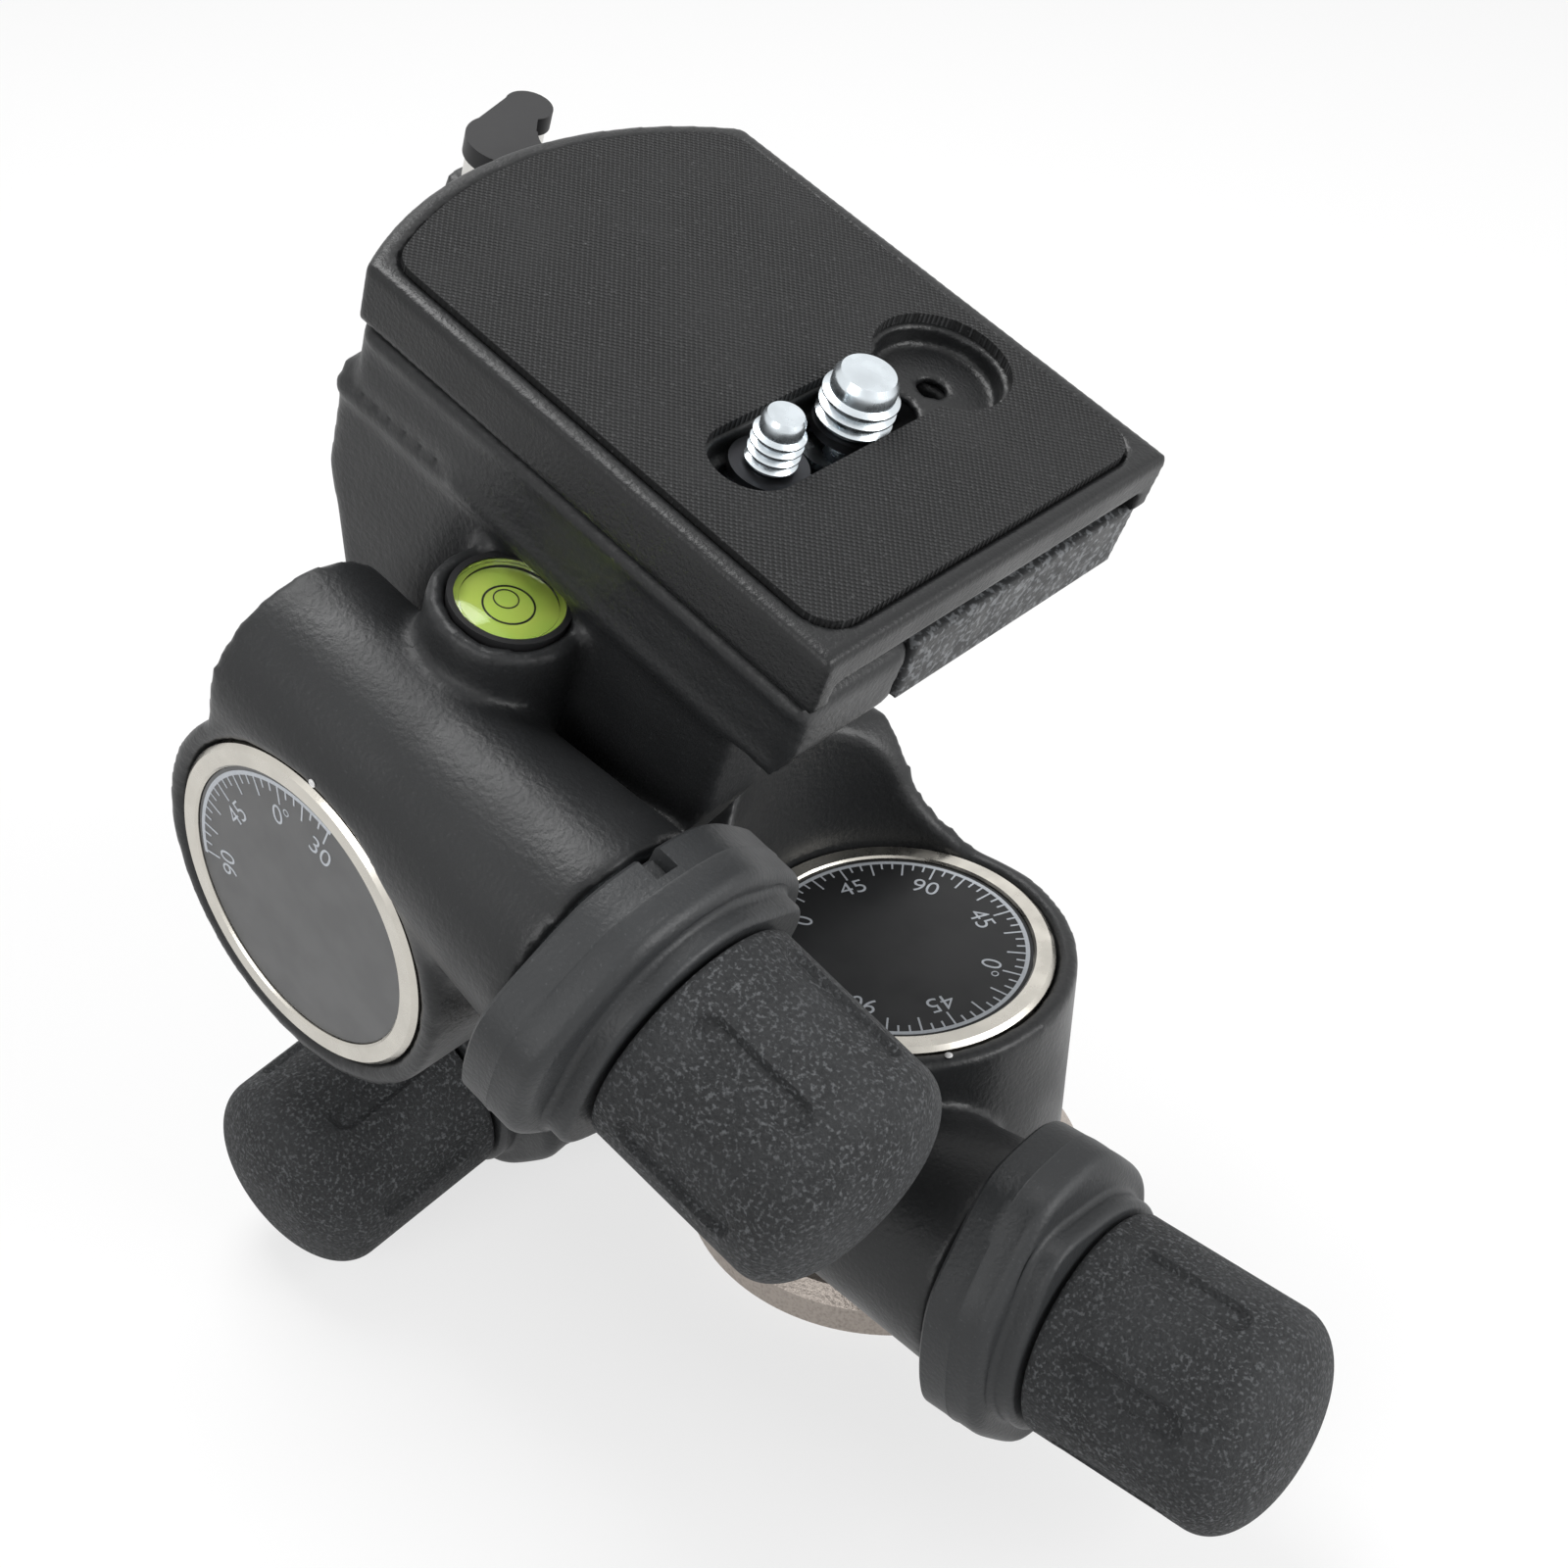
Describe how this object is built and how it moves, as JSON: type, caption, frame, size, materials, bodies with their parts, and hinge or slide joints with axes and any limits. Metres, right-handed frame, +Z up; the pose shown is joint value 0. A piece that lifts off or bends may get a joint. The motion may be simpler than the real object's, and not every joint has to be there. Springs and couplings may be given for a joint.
{
  "type": "geared tripod head",
  "caption": "Geared tripod head: a round base carries three stacked worm drives with dials and knobs, a bubble level and a quick-release camera plate.",
  "frame": {"origin": "middle of the base's underside, on the pan axis", "axes": "+Z up along the pan axis; +X towards the pan knob; -Y towards the lower tilt knob and the upper tilt dial"},
  "size_m": [0.159, 0.108, 0.1503],
  "materials": {
    "bare_aluminium": "turned",
    "black_casting": "fine-grained powder coat",
    "black_plastic": "matt",
    "black_rubber": "fine-grained rubber",
    "black_satin_casting": "satin powder coat",
    "bronze": "machined",
    "champagne_metal": "satin nickel",
    "champagne_steel": "satin nickel",
    "clear_plastic": "clear polished",
    "dial_label": "printed matt film",
    "level_fluid": "clear yellow-green liquid",
    "satin_metal": "satin",
    "spring_steel": "drawn wire",
    "steel": "turned",
    "zinc_steel": "zinc plated"
  },
  "bodies": {
    "base": {"base_disc": "champagne_steel", "pan_column": "steel", "pan_worm_wheel": "bronze", "pan_lock_nut": "steel", "pan_dial_ring": "champagne_metal", "pan_dial_label": "dial_label"},
    "pan_body": {"pan_housing": "black_casting", "pan_bush": "bronze", "pan_release_spring": "spring_steel", "lower_tilt_shaft": "bare_aluminium", "lower_tilt_worm_wheel": "bronze", "lower_tilt_lock_nut": "steel", "lower_tilt_dial_ring": "champagne_metal", "lower_tilt_dial_label": "dial_label", "lower_tilt_axle_screw": "steel"},
    "lower_tilt_body": {"lower_tilt_housing": "black_casting", "lower_tilt_bush": "bronze", "lower_tilt_release_spring": "spring_steel", "upper_tilt_shaft": "bare_aluminium", "upper_tilt_worm_wheel": "bronze", "upper_tilt_lock_nut": "steel", "upper_tilt_dial_ring": "champagne_metal", "upper_tilt_dial_label": "dial_label", "upper_tilt_axle_screw": "steel"},
    "upper_tilt_body": {"upper_tilt_housing": "black_casting", "upper_tilt_bush": "bronze", "upper_tilt_release_spring": "spring_steel", "level_cup": "black_plastic", "level_fluid": "level_fluid", "level_cap": "clear_plastic", "side_jaw": "black_casting", "lever_pin": "steel"},
    "plate": {"quick_plate": "black_casting", "rubber_pad": "black_rubber"},
    "large_washer": {"large_camera_screw_washer": "zinc_steel"},
    "large_screw": {"large_camera_screw": "zinc_steel"},
    "small_washer": {"small_camera_screw_washer": "zinc_steel"},
    "small_screw": {"small_camera_screw": "zinc_steel"},
    "lever": {"release_lever": "satin_metal", "lever_cap": "black_plastic"},
    "pan_knob": {"pan_worm": "steel", "pan_knob_core": "black_plastic", "pan_knob_grip": "black_rubber"},
    "pan_release": {"pan_worm_sleeve": "black_plastic", "pan_release_ring": "black_satin_casting"},
    "lower_tilt_knob": {"lower_tilt_worm": "steel", "lower_tilt_knob_core": "black_plastic", "lower_tilt_knob_grip": "black_rubber"},
    "lower_tilt_release": {"lower_tilt_worm_sleeve": "black_plastic", "lower_tilt_release_ring": "black_satin_casting"},
    "upper_tilt_knob": {"upper_tilt_worm": "steel", "upper_tilt_knob_core": "black_plastic", "upper_tilt_knob_grip": "black_rubber"},
    "upper_tilt_release": {"upper_tilt_worm_sleeve": "black_plastic", "upper_tilt_release_ring": "black_satin_casting"}
  },
  "joints": [
    {"name": "pan_turn", "type": "hinge", "parent": "base", "child": "pan_body", "pos_m": [0, 0, 0.0277], "axis": [0, 0, 1], "continuous": true},
    {"name": "lower_tilt_turn", "type": "hinge", "parent": "pan_body", "child": "lower_tilt_body", "pos_m": [-0.0533, 0.0045, 0.046], "axis": [1, 0, 0], "range_deg": [-90, 30]},
    {"name": "upper_tilt_turn", "type": "hinge", "parent": "lower_tilt_body", "child": "upper_tilt_body", "pos_m": [-0.0413, -0.0488, 0.0726], "axis": [0, 1, 0], "range_deg": [-109.7, 10.3]},
    {"name": "pan_knob_turn", "type": "hinge", "parent": "pan_body", "child": "pan_knob", "pos_m": [0, -0.022, 0.0271], "axis": [1, 0, 0], "continuous": true},
    {"name": "pan_release_turn", "type": "hinge", "parent": "pan_body", "child": "pan_release", "pos_m": [0, -0.022, 0.0271], "axis": [1, 0, 0], "range_deg": [0, 35], "stiffness_Nm_per_rad": 0.3, "springref_deg": -17.19},
    {"name": "lower_tilt_knob_turn", "type": "hinge", "parent": "lower_tilt_body", "child": "lower_tilt_knob", "pos_m": [-0.0533, 0.00661, 0.0241], "axis": [0, -0.9954, -0.0958], "continuous": true},
    {"name": "lower_tilt_release_turn", "type": "hinge", "parent": "lower_tilt_body", "child": "lower_tilt_release", "pos_m": [-0.0533, 0.00661, 0.0241], "axis": [0, -0.9954, -0.0958], "range_deg": [0, 35], "stiffness_Nm_per_rad": 0.3, "springref_deg": -17.19},
    {"name": "upper_tilt_knob_turn", "type": "hinge", "parent": "upper_tilt_body", "child": "upper_tilt_knob", "pos_m": [-0.03388, -0.0554, 0.09331], "axis": [0.9415, 0, -0.3371], "continuous": true},
    {"name": "upper_tilt_release_turn", "type": "hinge", "parent": "upper_tilt_body", "child": "upper_tilt_release", "pos_m": [-0.03388, -0.0554, 0.09331], "axis": [0.9415, 0, -0.3371], "range_deg": [0, 35], "stiffness_Nm_per_rad": 0.3, "springref_deg": -17.19},
    {"name": "plate_lift", "type": "slide", "parent": "upper_tilt_body", "child": "plate", "axis": [0.3371, 0, 0.9415], "range_m": [0, 0.015]},
    {"name": "large_screw_slide", "type": "slide", "parent": "plate", "child": "large_washer", "axis": [0, 1, 0], "range_m": [0, 0.008]},
    {"name": "large_screw_turn", "type": "hinge", "parent": "large_washer", "child": "large_screw", "pos_m": [-0.00457, -0.0065, 0.13008], "axis": [0.3371, 0, 0.9415], "continuous": true},
    {"name": "small_screw_slide", "type": "slide", "parent": "plate", "child": "small_washer", "axis": [0, 1, 0], "range_m": [-0.0025, 0]},
    {"name": "small_screw_turn", "type": "hinge", "parent": "small_washer", "child": "small_screw", "pos_m": [-0.00457, -0.0211, 0.13008], "axis": [0.3371, 0, 0.9415], "continuous": true},
    {"name": "lever_turn", "type": "hinge", "parent": "upper_tilt_body", "child": "lever", "pos_m": [-0.06675, -0.0045, 0.14332], "axis": [0.3371, 0, 0.9415], "range_deg": [0, 50], "stiffness_Nm_per_rad": 0.1, "springref_deg": -17.19}
  ],
  "couplings": [
    {"joint": "pan_knob_turn", "follows": "pan_turn", "ratio": 48},
    {"joint": "lower_tilt_knob_turn", "follows": "lower_tilt_turn", "ratio": -48},
    {"joint": "upper_tilt_knob_turn", "follows": "upper_tilt_turn", "ratio": 48}
  ]
}
